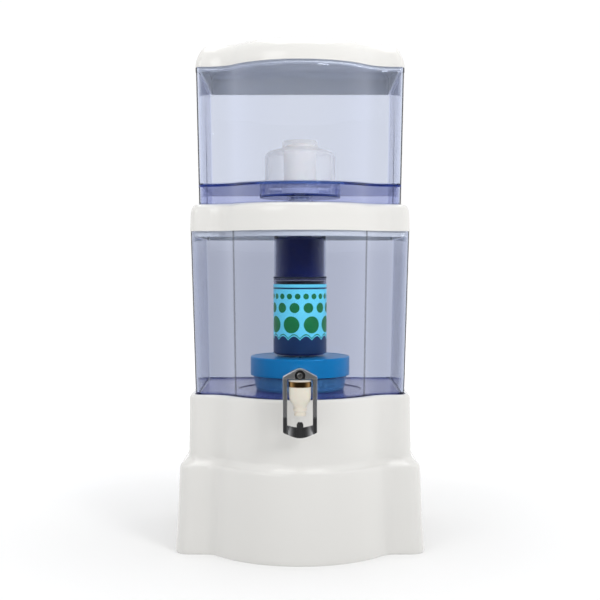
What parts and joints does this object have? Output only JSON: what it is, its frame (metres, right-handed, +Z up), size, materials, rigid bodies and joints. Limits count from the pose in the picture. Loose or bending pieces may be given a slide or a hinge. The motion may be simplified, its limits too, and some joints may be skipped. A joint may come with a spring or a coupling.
{
  "type": "gravity water filter",
  "caption": "Countertop gravity water filter: two stacked clear tanks with a bowed front on a white pedestal, a candle and cartridge inside, and a push-back tap.",
  "frame": {"origin": "middle of the footprint box, on the surface that the pedestal stands on", "axes": "+Z up, the bowed front and the tap face -Y, +X to the right seen from the front"},
  "size_m": [0.3554, 0.3988, 0.73],
  "materials": {
    "white_moulding": "gloss",
    "clear_tank": "clear tinted plastic",
    "blue_clear": "translucent",
    "blue_cap": "satin",
    "stones": "matte",
    "cream_plastic": "satin",
    "white_plastic": "satin",
    "seal_rubber": "matte",
    "bronze_ring": "polished",
    "steel": "satin",
    "chrome_lever": "polished",
    "black_plastic": "satin",
    "ceramic": "matte porous",
    "navy_plastic": "satin",
    "smoky_clear": "translucent",
    "label": "satin print",
    "screen": "felt",
    "carbon": "granular",
    "resin_beads": "granular",
    "mineral_sand": "granular",
    "frosted_clear": "frosted"
  },
  "bodies": {
    "pedestal": {"base_shell": "white_moulding"},
    "lower_tank": {"lower_tank": "clear_tank", "mineral_box_bowl": "blue_clear", "mineral_stones": "stones", "mineral_box_cap": "blue_cap", "tap_body": "cream_plastic", "shank_washer_outer": "seal_rubber", "shank_washer_inner": "seal_rubber", "shank_nut": "cream_plastic", "bonnet_ring": "bronze_ring", "bonnet_cap": "white_plastic", "lever_pin": "steel", "valve_spring": "steel"},
    "lever": {"tap_lever": "chrome_lever", "lever_block": "black_plastic", "lever_washer": "black_plastic", "lever_screw": "steel"},
    "valve": {"valve_stem": "white_plastic", "valve_seal": "seal_rubber"},
    "mid_lid": {"mid_lid": "white_moulding"},
    "upper_tank": {"upper_tank": "clear_tank", "candle_element": "ceramic", "candle_base": "white_plastic", "stem_seal_upper": "seal_rubber", "stem_seal_lower": "seal_rubber", "stem_nut": "white_plastic", "cartridge_cap": "navy_plastic", "cartridge_seal": "seal_rubber", "cartridge_shell": "smoky_clear", "cartridge_label": "label", "media_screens": "screen", "media_carbon": "carbon", "media_resin": "resin_beads", "media_mineral": "mineral_sand", "cartridge_foot": "navy_plastic"},
    "candle_cover": {"candle_cover": "frosted_clear"},
    "upper_lid": {"upper_lid": "white_moulding"}
  },
  "joints": [
    {"name": "lower_tank_lift", "type": "slide", "parent": "pedestal", "child": "lower_tank", "axis": [0, 0, 1], "range_m": [0, 0.12]},
    {"name": "lever_push", "type": "hinge", "parent": "lower_tank", "child": "lever", "pos_m": [0, -0.18854, 0.262], "axis": [1, 0, 0], "range_deg": [0, 11], "stiffness_Nm_per_rad": 0.4, "springref_deg": -8.59},
    {"name": "valve_lift", "type": "slide", "parent": "lower_tank", "child": "valve", "axis": [0, 0, 1], "range_m": [0, 0.0009], "deforming": ["valve_spring"]},
    {"name": "mid_lid_lift", "type": "slide", "parent": "lower_tank", "child": "mid_lid", "axis": [0, 0, 1], "range_m": [0, 0.1]},
    {"name": "upper_tank_lift", "type": "slide", "parent": "mid_lid", "child": "upper_tank", "axis": [0, 0, 1], "range_m": [0, 0.24]},
    {"name": "candle_cover_lift", "type": "slide", "parent": "upper_tank", "child": "candle_cover", "axis": [0, 0, 1], "range_m": [0, 0.085]},
    {"name": "upper_lid_lift", "type": "slide", "parent": "upper_tank", "child": "upper_lid", "axis": [0, 0, 1], "range_m": [0, 0.1]}
  ],
  "couplings": [
    {"joint": "valve_lift", "follows": "lever_push", "m_per_rad": 0.0045}
  ]
}
